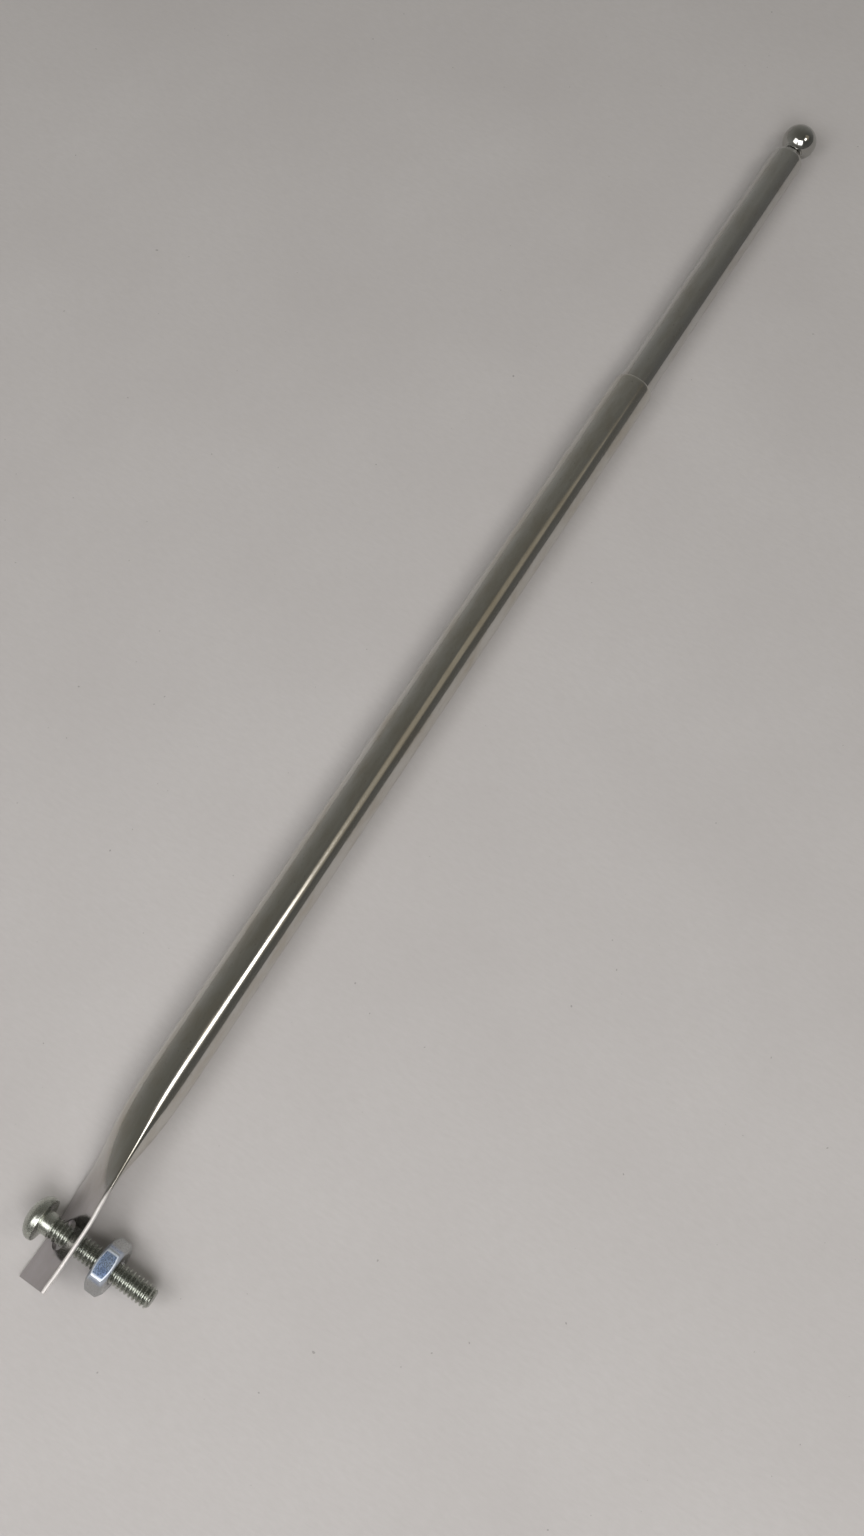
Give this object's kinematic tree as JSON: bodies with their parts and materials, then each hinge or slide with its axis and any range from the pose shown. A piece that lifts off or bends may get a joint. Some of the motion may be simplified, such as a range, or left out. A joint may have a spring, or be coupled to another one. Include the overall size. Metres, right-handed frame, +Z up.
{
  "type": "telescopic rabbit ears antenna rod",
  "caption": "Chromed telescopic antenna rod with a ball tip and a flattened, punched end that a loose screw and hex nut pivot on its base.",
  "frame": {"origin": "centre of the lying rod's footprint, on the surface that it lies on", "axes": "+X along the rod towards its ball tip, +Z up, the pivot screw's tip towards -Y"},
  "size_m": [0.2878, 0.0256, 0.01],
  "materials": {
    "outer_chrome": "bright chrome plate with fine lengthwise polishing marks",
    "section_chrome": "bright chrome plate",
    "ball_chrome": "polished chrome plate",
    "bush_brass": "turned, bare",
    "spring_bronze": "rolled phosphor bronze strip",
    "screw_zinc": "bright zinc plate",
    "nut_blue_zinc": "blue passivated zinc plate"
  },
  "bodies": {
    "outer_section": {"outer_tube": "outer_chrome"},
    "section_2": {"section_2_tube": "section_chrome", "section_2_bush": "bush_brass", "section_2_spring": "spring_bronze"},
    "section_3": {"section_3_tube": "section_chrome", "section_3_bush": "bush_brass", "section_3_spring": "spring_bronze"},
    "section_4": {"section_4_tube": "section_chrome", "section_4_bush": "bush_brass", "section_4_spring": "spring_bronze"},
    "section_5": {"section_5_tube": "section_chrome", "section_5_bush": "bush_brass", "section_5_spring": "spring_bronze"},
    "tip_section": {"tip_rod": "section_chrome", "tip_ball": "ball_chrome", "section_6_bush": "bush_brass", "section_6_spring": "spring_bronze"},
    "pivot_screw": {"pivot_screw": "screw_zinc"},
    "pivot_nut": {"pivot_nut": "nut_blue_zinc"}
  },
  "joints": [
    {"name": "section_2_slide", "type": "slide", "parent": "outer_section", "child": "section_2", "axis": [1, 0, -0.0052], "range_m": [-0.0696, 0.0868]},
    {"name": "section_3_slide", "type": "slide", "parent": "section_2", "child": "section_3", "axis": [1, 0, -0.0052], "range_m": [0, 0.1457]},
    {"name": "section_4_slide", "type": "slide", "parent": "section_3", "child": "section_4", "axis": [1, 0, -0.0052], "range_m": [0, 0.135]},
    {"name": "section_5_slide", "type": "slide", "parent": "section_4", "child": "section_5", "axis": [1, 0, -0.0052], "range_m": [0, 0.1239]},
    {"name": "tip_slide", "type": "slide", "parent": "section_5", "child": "tip_section", "axis": [1, 0, -0.0052], "range_m": [0, 0.1125]},
    {"name": "screw_turn", "type": "hinge", "parent": "outer_section", "child": "pivot_screw", "pos_m": [-0.13448, 0.00537, 0.00497], "axis": [-0.0488, -0.9977, -0.0479], "range_deg": [-3220, 1350]},
    {"name": "nut_travel", "type": "slide", "parent": "outer_section", "child": "pivot_nut", "axis": [0.0488, 0.9977, 0.0479], "range_m": [-0.007, 0.0029]}
  ],
  "couplings": [
    {"joint": "screw_turn", "follows": "nut_travel", "rad_per_m": 7913.3}
  ]
}
